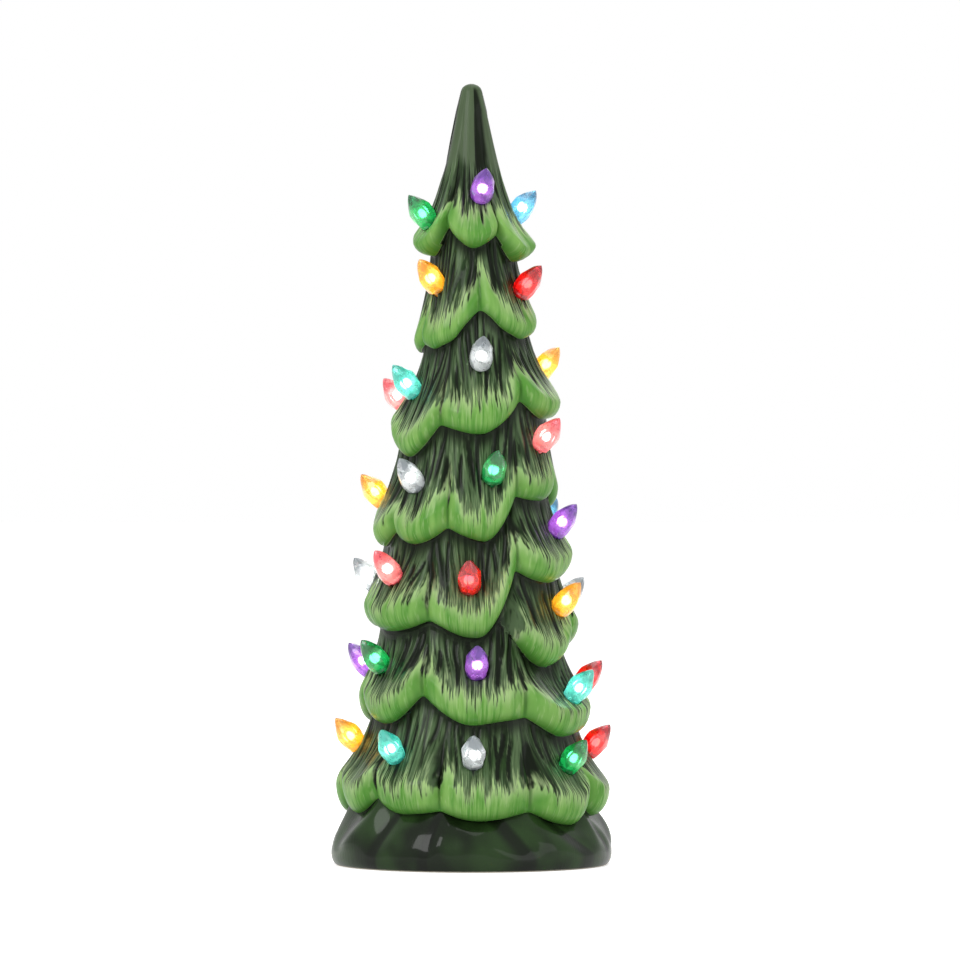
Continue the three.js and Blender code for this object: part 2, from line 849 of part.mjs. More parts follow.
function add(name, geometry, material) {
  const mesh = new THREE.Mesh(geometry, material);
  mesh.name = name;
  tree.add(mesh);
  return mesh;
}

add("tree_shell", treeShell(), glaze);
for (const bulb of allBulbs()) {
  add(bulb.name, turned(bulbProfile, bulbSides), bulbFinishes[bulb.colour]).applyMatrix4(bulb.place);
}
add("lamp_housing", lampHousing(), whitePlastic);
add("battery_door", batteryDoor(), whitePlastic);
add("switch_knob", switchKnob(), blackPlastic);
add("switch_body", switchBody(), tinned);
add("switch_lead", switchLead(), leadGrey);
add("circuit_board", circuitBoard(), boardGreen);
add("led_board", ledBoard(), boardGreen);
ledHeights.forEach((height, k) => add(`led_${k + 1}`, led(height, k % 2 ? 1 : -1), ledWhite));
add("battery_cell_front", cell(-1), cellJacket);
add("battery_cell_back", cell(1), cellJacket);
add("contact_front", endContact(-1), tinned);
add("contact_back", endContact(1), tinned);
add("contact_link", linkContact(), tinned);

export default tree;
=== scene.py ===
"""Looks of the ceramic Christmas tree: the glazed casting, its lit bulbs and the lamp unit in its foot.

The casting and the bulbs are built here again at a finer scale, from the same sizes as the solids.
Lengths are in millimetres until a mesh is made. Azimuths are in degrees, with 0 towards the camera.
"""
import math

import bmesh
import bpy
import numpy as np
from mathutils import Matrix, Vector


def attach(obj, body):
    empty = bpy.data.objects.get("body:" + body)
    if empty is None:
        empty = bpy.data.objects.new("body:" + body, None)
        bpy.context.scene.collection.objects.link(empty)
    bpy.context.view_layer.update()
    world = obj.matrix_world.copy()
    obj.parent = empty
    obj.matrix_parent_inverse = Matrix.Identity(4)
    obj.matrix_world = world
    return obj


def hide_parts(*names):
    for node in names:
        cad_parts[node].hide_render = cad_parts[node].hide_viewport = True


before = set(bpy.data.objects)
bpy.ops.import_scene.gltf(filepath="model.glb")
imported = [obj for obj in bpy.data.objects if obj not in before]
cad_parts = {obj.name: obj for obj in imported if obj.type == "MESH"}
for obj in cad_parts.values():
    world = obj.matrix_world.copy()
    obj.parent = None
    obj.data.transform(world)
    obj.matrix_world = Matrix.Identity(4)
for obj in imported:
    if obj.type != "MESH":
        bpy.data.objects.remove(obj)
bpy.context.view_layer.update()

MM = 0.001
rng = np.random.default_rng(24)

# Camera, at the photograph's angle: level, 1.5 m away and a little under the middle of the tree
CAMERA_PLACE, LENS, SENSOR = (2.2, -1500, 98.4), 219.4, 36
camera_data = bpy.data.cameras.new("camera")
camera_data.sensor_width = SENSOR
camera_data.lens = LENS
camera = bpy.data.objects.new("camera", camera_data)
camera.location = [value * MM for value in CAMERA_PLACE]
camera.rotation_euler = (math.radians(90), 0, 0)
bpy.context.collection.objects.link(camera)
bpy.context.scene.camera = camera
bpy.context.scene.view_settings.view_transform = "Standard"

# The casting, as in the solids: its height, the radii of the mound and foot, and the shoulder's height
HEIGHT, BASE, FOOT, SHOULDER = 200, 36, 34.7, 3.6
# Radius of the bore, radius and depth of the recess round it, and the wall
BORE, RECESS, LEDGE, WALL = 27.95, 30.65, 2.9, 2.6
# (radius, height) at the top of the first row's flank and of the blunt tip over it, then the cavity's top
SPIRE, TIP, SPIRE_INSIDE = (3.9, 193.5), (2.7, 198.2), 186
# A lip's height as a share of its radius, its width underneath, and how far a row is tucked behind it
LIP_SHARE, LIP_FOOT, TUCK = 0.22, 0.6, 0.3
# How far a notch is let in, the power of its sides and how round its arch is
NOTCH, NOTCH_POWER, ARCH = 0.5, 1.9, 0.16
# How much of a row's sway its crease follows, and how a flank swells from the crease to the lip, with
# a fuller curve for the first row
CREASE_SWAY, SWELL, TOP_SWELL, TOP_POWER = 0.8, 0.45, 0.62, 6
# A row that is only part of the way round: the degrees it takes to fade and, where it is absent, how far
# its edge lies under the row above and its lip and crease lie outside that row's crease
FADE, PART_DROP, PART_LIP, PART_CREASE = 12, 2, 0.2, 0.1

# Bulbs, as in the solids: radius and length of the peg, radius and height of the shoulder, radius of the
# belly, and the length
PEG, PEG_LENGTH, SHOULDER_RADIUS, SHOULDER_HEIGHT, BELLY, LENGTH = 1.5, 4.5, 2.6, 0.5, 3.3, 9.8
# How deep a bulb sits, its tilt in degrees, the length of its light hole and the play round it
SINK, RISE, REACH, FIT = 0.8, 50, 12.5, 0.3

# Rows of boughs, as in the solids: lip, crease, sway and reach in hundredths of the base's radius,
# edge heights and rises in hundredths of the tree's height. A bough is its azimuth, edge height, rise
# to the notch after it and reach. A bulb is its azimuth, its share down the flank and its colour.
ROWS = [
    {
        "lip": 45.6, "crease": 30, "sway": 1.9,
        "boughs": [(-62, 77.7, 2.5), (3, 78.7, 1.6), (60, 77.1, 0.9), (142, 78, 2), (220, 77.5, 2)],
        "bulbs": [(-65, 0.85, "green"), (14, 0.72, "purple"), (107, 0.85, "blue"), (158, 0.75, "red"),
                  (206, 0.77, "amber")],
    },
    {
        "lip": 44.4, "crease": 36.7, "sway": 3.6,
        "boughs": [(-95, 65.5, 0.5), (-42, 66, 3.6), (60, 67.2, 2), (140, 66, 2.5), (205, 67, 2.5)],
        "bulbs": [(-49, 0.44, "amber"), (68, 0.51, "red"), (140, 0.51, "green"), (210, 0.46, "white")],
    },
    {
        "lip": 62.2, "crease": 51.1, "sway": 2.5,
        "boughs": [(-56, 52.2, 1.1), (8, 55, 2.3), (70, 56.8, 1.5), (136, 55, 2), (190, 53, 2),
                   (238, 53.5, 2)],
        "bulbs": [(-110, 0.76, "pink"), (-67, 0.54, "aqua"), (8, 0.52, "white"), (110, 0.64, "amber"),
                  (180, 0.6, "blue")],
    },
    {
        "lip": 66.7, "crease": 56.7, "sway": -4.4,
        "boughs": [(-78, 40.6, 1.6), (-40, 41, 1.7), (8, 41.4, 0.5), (60, 46.5, 1.5), (104, 45.5, 2),
                   (155, 43, 2), (205, 42.5, 2), (243, 41.5, 2)],
        "bulbs": [(-104, 0.86, "amber"), (-44, 0.49, "white"), (15, 0.55, "green"), (60, 0.45, "pink"),
                  (128, 0.51, "purple"), (192, 0.56, "red")],
    },
    {
        "lip": 76.4, "crease": 62.5, "sway": -2.5,
        "boughs": [(-58, 29.9, 1.4), (4, 29.2, 1.5), (55, 36.1, 3), (146, 34, 2), (197, 31, 2),
                   (249, 30, 1.5)],
        "bulbs": [(-106, 0.72, "white"), (-54, 0.58, "pink"), (-1, 0.65, "red"), (71, 0.59, "purple"),
                  (126, 0.43, "blue"), (185, 0.57, "aqua")],
    },
    {
        "lip": 76.7, "crease": 61.1, "sway": 1.4, "part": (22, 206),
        "boughs": [(-6, 36, -6.2), (52, 25.4, 1.8), (110, 27.5, 1.5), (165, 23.5, 3), (228, 28, 0)],
        "bulbs": [(67, 0.56, "amber"), (110, 0.63, "white"), (160, 0.57, "green")],
    },
    {
        "lip": 85, "crease": 72.2, "sway": 3.1,
        "boughs": [(-56, 18.2, 3.5), (1, 18.3, 0.9), (58, 16.6, 1.5), (128, 16.5, 1.5), (172, 16, 2),
                   (215, 17.5, 2), (253, 18, 2)],
        "bulbs": [(-99, 0.6, "purple"), (-63, 0.5, "green"), (3, 0.51, "purple"), (65, 0.75, "aqua"),
                  (97, 0.81, "red"), (148, 0.73, "amber"), (208, 0.55, "pink")],
    },
    {
        "lip": 97.8, "crease": (BORE + WALL) / BASE * 100, "sway": 0,
        "boughs": [(-66, 6.8, 1.9, -2.2), (-32, 7, 0.5), (3, 6.3, 1), (52, 5.5, 1.5, 0.8),
                   (78, 6.2, 1.5, 1.4), (122, 6.5, 2), (160, 6, 2), (195, 6.8, 2), (230, 6.2, 2),
                   (262, 6.5, 2)],
        "bulbs": [(-84, 0.62, "amber"), (-39, 0.65, "aqua"), (1, 0.57, "white"), (54, 0.53, "green"),
                  (96, 0.57, "red"), (150, 0.59, "purple"), (215, 0.62, "blue")],
    },
]


def smooth(x, low=0.0, high=1.0):
    t = np.clip((x - low) / (high - low), 0, 1)
    return t * t * (3 - 2 * t)


def mix(a, b, t):
    return a + (b - a) * t


# The rows' edges, for an array of azimuths

def gap_of(row, azimuth):
    """The row's boughs, the numbers of those on both sides, and the span between and share across it."""
    b = np.array([(*bough, 0)[:4] for bough in row["boughs"]], dtype=float)
    turn = (azimuth - b[0, 0]) % 360
    left = np.searchsorted(b[:, 0] - b[0, 0], turn, side="right") - 1
    right = (left + 1) % len(b)
    span = (b[right, 0] - b[left, 0]) % 360
    return b, left, right, span, (turn - (b[left, 0] - b[0, 0])) / span


def edge_of(row, azimuth):
    """(edge height, reach, 0 at a bough's middle to 1 at the notch) of a row."""
    b, left, right, _, share = gap_of(row, azimuth)
    near = np.where(share < 0.5, left, right)
    notch = 1 - np.abs(1 - 2 * share)
    top = np.maximum(b[left, 1], b[right, 1]) + b[left, 2]
    below = (np.hypot(1 - notch**NOTCH_POWER, ARCH) - ARCH) / (math.hypot(1, ARCH) - ARCH)
    height = mix(top, b[near, 1], below) * HEIGHT / 100
    reach = mix(b[near, 3], (b[left, 3] + b[right, 3]) / 2, notch) * BASE / 100
    return height, reach, notch


def row_at(i, azimuth):
    """Edge height, lip radius, crease radius, notch share and presence of row i."""
    row = ROWS[i]
    height, reach, notch = edge_of(row, azimuth)
    sway = row["sway"] * BASE / 100 * np.sin(np.radians(azimuth))
    crease = row["crease"] * BASE / 100 + CREASE_SWAY * sway
    lip = mix(row["lip"] * BASE / 100 + reach + sway, crease, NOTCH * notch**3)
    there = 1 + 0 * azimuth
    if "part" in row:
        start, end = row["part"]
        away = np.abs((azimuth - (start + end) / 2 + 540) % 360 - 180)
        half = (end - start) / 2
        there = 1 - smooth(away, half - FADE, half)
        above = row_at(i - 1, azimuth)
        height = np.where(there < 1, np.minimum(height, above[0] - PART_DROP), height)
        lip = mix(above[2] + PART_LIP, lip, there)
        crease = mix(above[2] + PART_CREASE, crease, there)
        notch = notch * there
    return height, lip, crease, notch, there


def flank_at(i, azimuth, share):
    """(radius, height) on the flank of row i, share 0 at the crease above it and 1 at its lip."""
    height, lip = row_at(i, azimuth)[:2]
    if i:
        above_height, _, above_crease = row_at(i - 1, azimuth)[:3]
        top = above_height + TUCK
        swell = SWELL * share + (1 - SWELL) * share**2
    else:
        above_crease, top = SPIRE
        swell = TOP_SWELL * share + (1 - TOP_SWELL) * share**TOP_POWER
    lip_top = height + np.minimum(LIP_SHARE * ROWS[i]["lip"] * BASE / 100, 0.45 * (top - height))
    return mix(above_crease, lip, swell), mix(top, lip_top, share)


def carved_at(i, azimuth):
    """1 where row i has its grooves, and 0 where a part row is only a sliver under the lip above."""
    height, _, _, _, there = row_at(i, azimuth)
    if "part" not in ROWS[i]:
        return there
    return np.maximum(there, smooth(row_at(i - 1, azimuth)[0] - height, PART_DROP + 0.5, PART_DROP + 3))


def eave_at(i, azimuth):
    """Height of the lip that hangs over row i, which is the next one up where a part row is absent."""
    above, _, _, _, there = row_at(i - 1, azimuth)
    return mix(row_at(i - 2, azimuth)[0], above, there) if "part" in ROWS[i - 1] else above


# The glazed casting

# Needles: their pitch, how far the light paint is brushed up them in mm, and how much they run together
NEEDLE_PITCH, BRUSH_MEAN, BRUSH_LONGEST, FLOW = 2.3, 2, 5, 0.24
# Azimuths of the spire's long folds
FLUTES = [9, 74, 138, 200, 262]
# In mm: unevenness of the lips, fold at a notch, grooves, folds of the spire and of the mound
LUMP, CUSP_DEPTH, GROOVE_DEPTH, SPIRE_FLUTE, MOUND_FOLD, DRAPE_DEPTH = 0.28, 1, 0.5, 0.45, 0.9, 0.45
# Width of the fold at a notch, as a share of the way from the bough's middle
CUSP_WIDTH = 0.12
# Folds of the mound: azimuth under the last row, drift down to the foot, and half width, in degrees
DRAPES = [(-78, -8, 8), (-50, -22, 8), (-33, -8, 5), (-12, -5, 4), (17, 12, 7), (44, 18, 8), (70, 9, 6),
          (104, -12, 9), (139, 14, 7), (171, -9, 6), (206, 16, 9), (240, -10, 7)]
# A lip's underside: a ring part of the way from its foot to the crease, and that ring's rise in mm
UNDER_SHARE, UNDER_RISE = 0.55, 0.05
# Fineness of the mesh: rings on each part, columns round it, and passes that round the profile
SPIRE_RINGS, FLANK_RINGS, LIP_RINGS, MOUND_RINGS = 66, 36, 13, 26
COLUMNS, QUICK_COLUMNS, RELAX_PASSES = 420, 300, 3
# In mm: how far a ring that is left out may lie off a straight line, and how near points are welded
SLACK, WELD = 0.06, 0.002


def wave(azimuth, seed, low, high, terms=9):
    """A smooth closed wave round the tree, about -1 to 1."""
    r = np.random.default_rng(seed)
    turns = r.integers(low, high, terms)
    phase = r.uniform(0, 2 * np.pi, terms)
    size = r.uniform(0.4, 1, terms)
    a = np.radians(azimuth)[None, :]
    return (size[:, None] * np.sin(turns[:, None] * a + phase[:, None])).sum(0) / size.sum() * 1.8


def needle_set(i):
    """Places, slants, ends, depths and widths of the grooves drawn down row i's flank."""
    r = np.random.default_rng(100 + i)
    count = int(2 * math.pi * ROWS[i]["lip"] * BASE / 100 / NEEDLE_PITCH)
    step = 360 / count
    return {
        "step": step,
        "place": (np.arange(count) + r.uniform(-0.4, 0.4, count)) * step,
        "slant": r.normal(0, 0.4, count) * step,
        "start": r.uniform(-0.25, 0.35, count),
        "end": r.uniform(0.68, 1.05, count),
        "depth": r.uniform(0.3, 1, count),
        "width": r.uniform(0.2, 0.38, count) * step,
        "brush": np.clip(r.exponential(BRUSH_MEAN, count), 0, BRUSH_LONGEST),
    }


NEEDLES = [needle_set(i) for i in range(len(ROWS))]


def flow_at(i, azimuth, share):
    """Azimuth of a needle's root: the needles part at the notches and run together down each bough."""
    _, _, _, span, across = gap_of(ROWS[i], azimuth)
    return azimuth + 0.5 * FLOW * span * smooth(share, 0, 0.95) * np.sin(2 * np.pi * across)


def groove_at(i, azimuth, share):
    """How deep the needle grooves are at points of row i, from 0 to 1."""
    s = NEEDLES[i]
    azimuth = flow_at(i, azimuth, share) % 360
    base = np.floor(azimuth / s["step"]).astype(int)
    total = np.zeros_like(azimuth)
    for k in (-1, 0, 1, 2):
        n = (base + k) % len(s["place"])
        # A needle slants and wavers a little on its way down
        bend = s["slant"][n] * (share - 0.5) * 2 + 0.14 * s["step"] * np.sin(7 * share + n * 2.4)
        away = (azimuth - s["place"][n] - bend + 180) % 360 - 180
        line = np.exp(-((away / s["width"][n]) ** 2)) * s["depth"][n]
        start, end = s["start"][n], s["end"][n]
        window = smooth(share, start, start + 0.18) * (1 - smooth(share, end - 0.25, end))
        total = np.maximum(total, line * window)
    if i == 0:
        total = total * smooth(share, 0.36, 0.66)
    return total


def flute_at(azimuth, share):
    """The long folds of the smooth spire: a sharp fold that fades to one side, from 0 to 1, cut into the
    clay and darkened with painted shade.
    """
    total = np.zeros_like(azimuth)
    for k, start in enumerate(FLUTES):
        away = (azimuth - start + 3 * np.sin(5 * share + k)) % 360
        total = np.maximum(total, smooth(away, 0, 5) * (1 - smooth(away, 7, 46)))
    return total * (1 - smooth(share, 0.4, 0.62))


def brush_at(i, azimuth):
    """How far up the light paint is brushed on the ridges between the grooves of row i, in mm."""
    s = NEEDLES[i]
    base = np.floor(azimuth / s["step"]).astype(int)
    total = np.zeros_like(azimuth)
    for k in (-2, -1, 0, 1):
        n = (base + k) % len(s["place"])
        away = np.abs((azimuth - s["place"][n] - 0.5 * s["step"] + 180) % 360 - 180) / s["step"]
        total = np.maximum(total, s["brush"][n] * (1 - np.clip(away / 0.75, 0, 1) ** 1.6))
    return total


def lump_at(i, azimuth):
    """How far row i's lip is out of true, in mm, as on anything pressed by hand."""
    return LUMP * wave(azimuth, 40 + i, 6, 16)


def shift_at(i, azimuth):
    """How far row i's lip stands out of its place, in mm: its lumps, and a fold at each notch."""
    _, _, _, notch, there = row_at(i, azimuth)
    return lump_at(i, azimuth) * there - CUSP_DEPTH * np.exp(-(((1 - notch) / CUSP_WIDTH) ** 2))


def row_rings(i, azimuth):
    """Rings down the flank of row i, round its lip and back under it to the crease."""
    height, _, crease, _, there = row_at(i, azimuth)
    lump = lump_at(i, azimuth) * there
    shift = shift_at(i, azimuth)
    carved = GROOVE_DEPTH * carved_at(i, azimuth)
    rings = []
    for share in np.linspace(0, 1, SPIRE_RINGS if i == 0 else FLANK_RINGS):
        radius, z = flank_at(i, azimuth, share)
        down = smooth(share, 0.25, 0.95)
        if i == 0:
            radius = radius - SPIRE_FLUTE * flute_at(azimuth, share) * smooth(share, 0, 0.1)
        rings.append((radius + down * shift - carved * groove_at(i, azimuth, share), z))
    lip_radius, lip_top = flank_at(i, azimuth, 1.0)
    lip_radius = lip_radius + shift
    foot = np.minimum(crease + LIP_FOOT, lip_radius)
    low = height + lump
    for turn in np.linspace(0, math.pi / 2, LIP_RINGS)[1:]:
        rings.append((mix(foot, lip_radius, math.cos(turn)), mix(lip_top, low, math.sin(turn))))
    rings.append((mix(foot, crease, UNDER_SHARE), low + UNDER_RISE))
    return rings


def drape_at(azimuth, share):
    """Folds that run down the mound, each a hollow beside a ridge, from -1 to 1."""
    total = np.zeros_like(azimuth)
    for start, drift, width in DRAPES:
        away = ((azimuth - start - drift * share + 180) % 360 - 180) / width
        total = total + 2.3 * away * np.exp(-(away**2))
    return total


def mound_rings(azimuth):
    """Rings down the mound under the last row, to the ring that the tree stands on."""
    height, _, crease = row_at(len(ROWS) - 1, azimuth)[:3]
    a = np.radians(azimuth)
    fold = 0.6 * np.cos(7 * a + 0.8) + 0.4 * np.cos(11 * a - 1.1)
    rings = []
    for share in np.linspace(0, 1, MOUND_RINGS):
        swell = math.sin(share * math.pi / 2)
        drape = MOUND_FOLD * fold + DRAPE_DEPTH * drape_at(azimuth, share)
        radius = mix(crease, BASE, swell) + 4 * drape * share * (1 - share)
        rings.append((radius, mix(height + TUCK, SHOULDER, share)))
    # The mound rounds over to the foot
    for inset, z in ((0, 2.7), (0.1, 1.8), (0.35, 0.9), (0.8, 0.3), (BASE - FOOT, 0)):
        rings.append((BASE - inset + 0 * azimuth, z + 0 * azimuth))
    return rings


def tip_rings(azimuth):
    """Rings from just off the point down the blunt top to the first row's flank."""
    rings = []
    for turn in np.linspace(0.2, math.pi / 2, 7):
        rings.append((TIP[0] * math.sin(turn), TIP[1] + (HEIGHT - TIP[1]) * math.cos(turn)))
    for share in np.linspace(0, 1, 10)[1:-1]:
        rings.append((mix(TIP[0], SPIRE[0], share), mix(TIP[1], SPIRE[1], share)))
    return [(radius + 0 * azimuth, z + 0 * azimuth) for radius, z in rings]


def inside_rings():
    """(radius, height) up the recess, the bore and the cavity."""
    rings = [(RECESS, 0), (RECESS, LEDGE), (BORE, LEDGE)]
    widest = BORE
    for row in reversed(ROWS):
        widest = min(widest, (row["crease"] - abs(row["sway"])) * BASE / 100 - WALL)
        low = max(rings[-1][1] + 0.1, min(b[1] for b in row["boughs"]) * HEIGHT / 100)
        high = max(low + 0.1, max(b[1] + b[2] for b in row["boughs"]) * HEIGHT / 100)
        rings += [(widest, low), (widest, high)]
    return rings + [(TIP[0] + 0.2, SPIRE_INSIDE)]


def relax(r, z, passes):
    """Rounds the rings' profile, as the glaze rounds every edge of the clay."""
    for _ in range(passes):
        for values in (r, z):
            values[1:-1] = 0.25 * values[:-2] + 0.5 * values[1:-1] + 0.25 * values[2:]


def thin(r, z, slack):
    """Numbers of the rings to keep, so that those left out lie on a straight line to within slack."""
    kept = [0]
    while kept[-1] < len(r) - 1:
        start, end = kept[-1], kept[-1] + 1
        while end + 1 < len(r) and bulge(r[start:end + 2], z[start:end + 2]) < slack:
            end += 1
        kept.append(end)
    return kept


def bulge(r, z):
    """The farthest that any ring lies off the straight line from the first ring to the last."""
    dr, dz = r[-1] - r[0], z[-1] - z[0]
    return np.max(np.abs(dr * (z - z[0]) - dz * (r - r[0])) / (np.hypot(dr, dz) + 1e-6))


def skin(name, r, z, azimuth, first, last):
    """A closed mesh over rings of radius r and height z, between two points on the axis."""
    levels, count = r.shape
    a = np.radians(azimuth)
    rings = np.stack([r * np.sin(a), -r * np.cos(a), z], -1).reshape(-1, 3)
    points = np.concatenate([[(0, 0, first)], rings, [(0, 0, last)]])
    k = np.arange(count)
    n = (k + 1) % count
    level = np.arange(levels - 1)[:, None] * count + 1
    quads = np.stack([level + k, level + count + k, level + count + n, level + n], -1)
    end = levels * count + 1
    below = end - count
    top = np.stack([0 * k, 1 + k, 1 + n], -1)
    bottom = np.stack([end + 0 * k, below + n, below + k], -1)
    mesh = bpy.data.meshes.new(name)
    mesh.from_pydata(points * MM, [], quads.reshape(-1, 4).tolist() + top.tolist() + bottom.tolist())
    mesh.update()
    return mesh


def casting():
    """The whole casting, before its sockets are cut."""
    columns = COLUMNS
    azimuth = np.arange(columns) * 360 / columns
    rings = tip_rings(azimuth)
    for i in range(len(ROWS)):
        rings += row_rings(i, azimuth)
    rings += mound_rings(azimuth)
    r = np.array([ring[0] for ring in rings])
    z = np.array([ring[1] for ring in rings])
    relax(r, z, RELAX_PASSES)
    kept = thin(r, z, SLACK)
    r, z = r[kept], z[kept]
    inside = np.array(inside_rings())
    r = np.vstack([r, inside[:, :1] + 0 * azimuth])
    z = np.vstack([z, inside[:, 1:] + 0 * azimuth])
    return skin("glazed_tree", r, z, azimuth, HEIGHT, SPIRE_INSIDE)


# Bulbs and the sockets they are pushed into

def bulb_places():
    """(row, number, colour, matrix from the bulb's own frame, in metres) of every bulb."""
    places = []
    for i, row in enumerate(ROWS):
        for k, (azimuth, share, colour) in enumerate(row["bulbs"]):
            radius, z = flank_at(i, np.array([float(azimuth)]), share)
            a = math.radians(azimuth)
            out = Vector((math.sin(a), -math.cos(a), 0))
            axis = out * math.cos(math.radians(RISE)) + Vector((0, 0, math.sin(math.radians(RISE))))
            seat = out * float(radius[0]) + Vector((0, 0, float(z[0]))) - axis * SINK
            turn = Vector((0, 0, 1)).rotation_difference(axis).to_matrix().to_4x4()
            places.append((i + 1, k + 1, colour, Matrix.Translation(seat * MM) @ turn))
    return places


def socket_cutter(places):
    """All the sockets as one object, to be cut out of the casting."""
    profile = [(PEG + FIT, -REACH), (PEG + FIT, -FIT), (SHOULDER_RADIUS + FIT, SHOULDER_HEIGHT - FIT),
               (BELLY + FIT, LENGTH / 2)]
    azimuth = np.arange(24) * 15.0
    r = np.array([[radius] * 24 for radius, _ in reversed(profile)])
    z = np.array([[height] * 24 for _, height in reversed(profile)])
    one = skin("socket", r, z, azimuth, LENGTH / 2, -REACH)
    joined = bmesh.new()
    for _, _, _, matrix in places:
        copy = one.copy()
        copy.transform(matrix)
        joined.from_mesh(copy)
    mesh = bpy.data.meshes.new("sockets")
    joined.to_mesh(mesh)
    return bpy.data.objects.new("sockets", mesh)


def cut(mesh, cutter):
    """The mesh with the cutter taken away."""
    work = bpy.data.objects.new("work", mesh)
    for obj in (work, cutter):
        bpy.context.collection.objects.link(obj)
    boolean = work.modifiers.new("sockets", "BOOLEAN")
    boolean.operation, boolean.solver, boolean.object = "DIFFERENCE", "MANIFOLD", cutter
    graph = bpy.context.evaluated_depsgraph_get()
    result = bpy.data.meshes.new_from_object(work.evaluated_get(graph))
    for obj in (work, cutter):
        bpy.data.objects.remove(obj)
    return result


def mend(mesh):
    """Welds points that all but touch, and drops the folded pairs of faces that this leaves."""
    work = bmesh.new()
    work.from_mesh(mesh)
    bmesh.ops.remove_doubles(work, verts=work.verts, dist=WELD * MM)
    bmesh.ops.triangulate(work, faces=work.faces)
    same = {}
    for face in work.faces:
        same.setdefault(frozenset(face.verts), []).append(face)
    folded = [face for faces in same.values() if len(faces) > 1 for face in faces]
    bmesh.ops.delete(work, geom=folded, context="FACES")
    work.to_mesh(mesh)
    work.free()


# Bulbs: columns, turn of the facets in degrees, how flat they are and where along it the belly is
BULB_COLUMNS, TWIST, FACETING, BELLY_SHARE = 60, 60, 0.9, 0.32
# The light pipe's end inside the bulb, and its height above the seat
PIPE_RADIUS, PIPE_LENGTH, PIPE_HEIGHT = 0.8, 1.1, 3.9


def bulb_mesh(colour):
    """A twisted six-sided drop on a peg."""
    azimuth = np.arange(BULB_COLUMNS) * 360 / BULB_COLUMNS
    middle = BELLY_SHARE * LENGTH
    rings = [(BELLY * (1 - u**1.9) ** 0.8, mix(middle, LENGTH, u)) for u in np.linspace(0.985, 0, 18)]
    for u in np.linspace(1, 0, 7)[1:]:
        radius = mix(SHOULDER_RADIUS, BELLY, math.sin(u * math.pi / 2))
        rings.append((radius, mix(SHOULDER_HEIGHT, middle, u)))
    rings += [(SHOULDER_RADIUS - 0.25, 0.2), (PEG + 0.25, 0.04), (PEG, -0.2), (PEG, 0.3 - PEG_LENGTH),
              (PEG - 0.25, -PEG_LENGTH)]
    r, z = [], []
    for radius, height in rings:
        share = min(max((height - SHOULDER_HEIGHT) / (LENGTH - SHOULDER_HEIGHT), 0), 1)
        sides = [np.radians((azimuth + turn * share) % 60 - 30) for turn in (TWIST, -TWIST)]
        flat = math.cos(math.radians(30)) / np.cos(np.minimum(*np.abs(sides)))
        r.append(radius * mix(1, flat, FACETING * smooth(height, 0.2, 1.2)))
        z.append(height + 0 * azimuth)
    return skin("bulb_" + colour, np.array(r), np.array(z), azimuth, LENGTH, -PEG_LENGTH)


def pipe_mesh():
    """The frosted end of the light pipe inside a bulb, where the light leaves it."""
    azimuth = np.arange(20) * 18.0
    turns = np.linspace(0, math.pi, 12)[1:-1]
    r = np.array([PIPE_RADIUS * math.sin(t) * (1 + 0 * azimuth) for t in turns])
    z = np.array([PIPE_HEIGHT + PIPE_LENGTH * math.cos(t) + 0 * azimuth for t in turns])
    return skin("light_pipe", r, z, azimuth, PIPE_HEIGHT + PIPE_LENGTH, PIPE_HEIGHT - PIPE_LENGTH)


# Materials

# Strength of the light pipes' glow, how far the facets are painted lighter and darker as they catch light,
# and where along a bulb its painted glow is palest
PIPE_GLOW, FACET_SHADING, PALEST = 12, 0.4, 0.38


def linear(colour):
    """A hex colour as linear RGBA."""
    values = [int(colour[k:k + 2], 16) / 255 for k in (0, 2, 4)]
    return tuple(v / 12.92 if v < 0.04 else ((v + 0.055) / 1.055) ** 2.4 for v in values) + (1,)


class Paint:
    """A material and short ways to add nodes to it. A value is a number, a colour or a socket."""

    def __init__(self, name, **constants):
        self.material = bpy.data.materials.new(name)
        self.material.use_nodes = True
        self.nodes = self.material.node_tree.nodes
        self.shader = self.nodes["Principled BSDF"]
        self.set(**constants)

    def put(self, socket, value):
        if isinstance(value, str):
            value = linear(value)
        if isinstance(value, bpy.types.NodeSocket):
            self.material.node_tree.links.new(value, socket)
        else:
            socket.default_value = value

    def set(self, **values):
        for name, value in values.items():
            self.put(self.shader.inputs[name.replace("_", " ")], value)

    def node(self, kind, *values, output=0, **settings):
        made = self.nodes.new("ShaderNode" + kind)
        for name, value in settings.items():
            setattr(made, name, value)
        for k, value in enumerate(values):
            if value is not None:
                self.put(made.inputs[k], value)
        return made.outputs[output]

    def attribute(self, name, vector=False):
        return self.node("Attribute", attribute_name=name, output=1 if vector else 2)

    def place(self, scale=(1, 1, 1)):
        point = self.node("TexCoord", output=3)
        return self.node("Mapping", point, None, None, scale)

    def noise(self, vector, scale, detail=3.0, rough=0.55):
        made = self.nodes.new("ShaderNodeTexNoise")
        for name, value in (("Vector", vector), ("Scale", scale), ("Detail", detail), ("Roughness", rough)):
            self.put(made.inputs[name], value)
        return made.outputs[0]

    def ramp(self, value, low, high, to_low=0.0, to_high=1.0):
        return self.node("MapRange", value, low, high, to_low, to_high, interpolation_type="SMOOTHSTEP")

    def maths(self, operation, a, b=0.0):
        return self.node("Math", a, b, operation=operation)

    def blend(self, factor, a, b):
        made = self.nodes.new("ShaderNodeMix")
        made.data_type = "RGBA"
        for k, value in ((0, factor), (6, a), (7, b)):
            self.put(made.inputs[k], value)
        return made.outputs[2]

    def bump(self, height, distance, strength=1.0):
        made = self.nodes.new("ShaderNodeBump")
        for name, value in (("Height", height), ("Distance", distance), ("Strength", strength)):
            self.put(made.inputs[name], value)
        self.set(Normal=made.outputs[0])


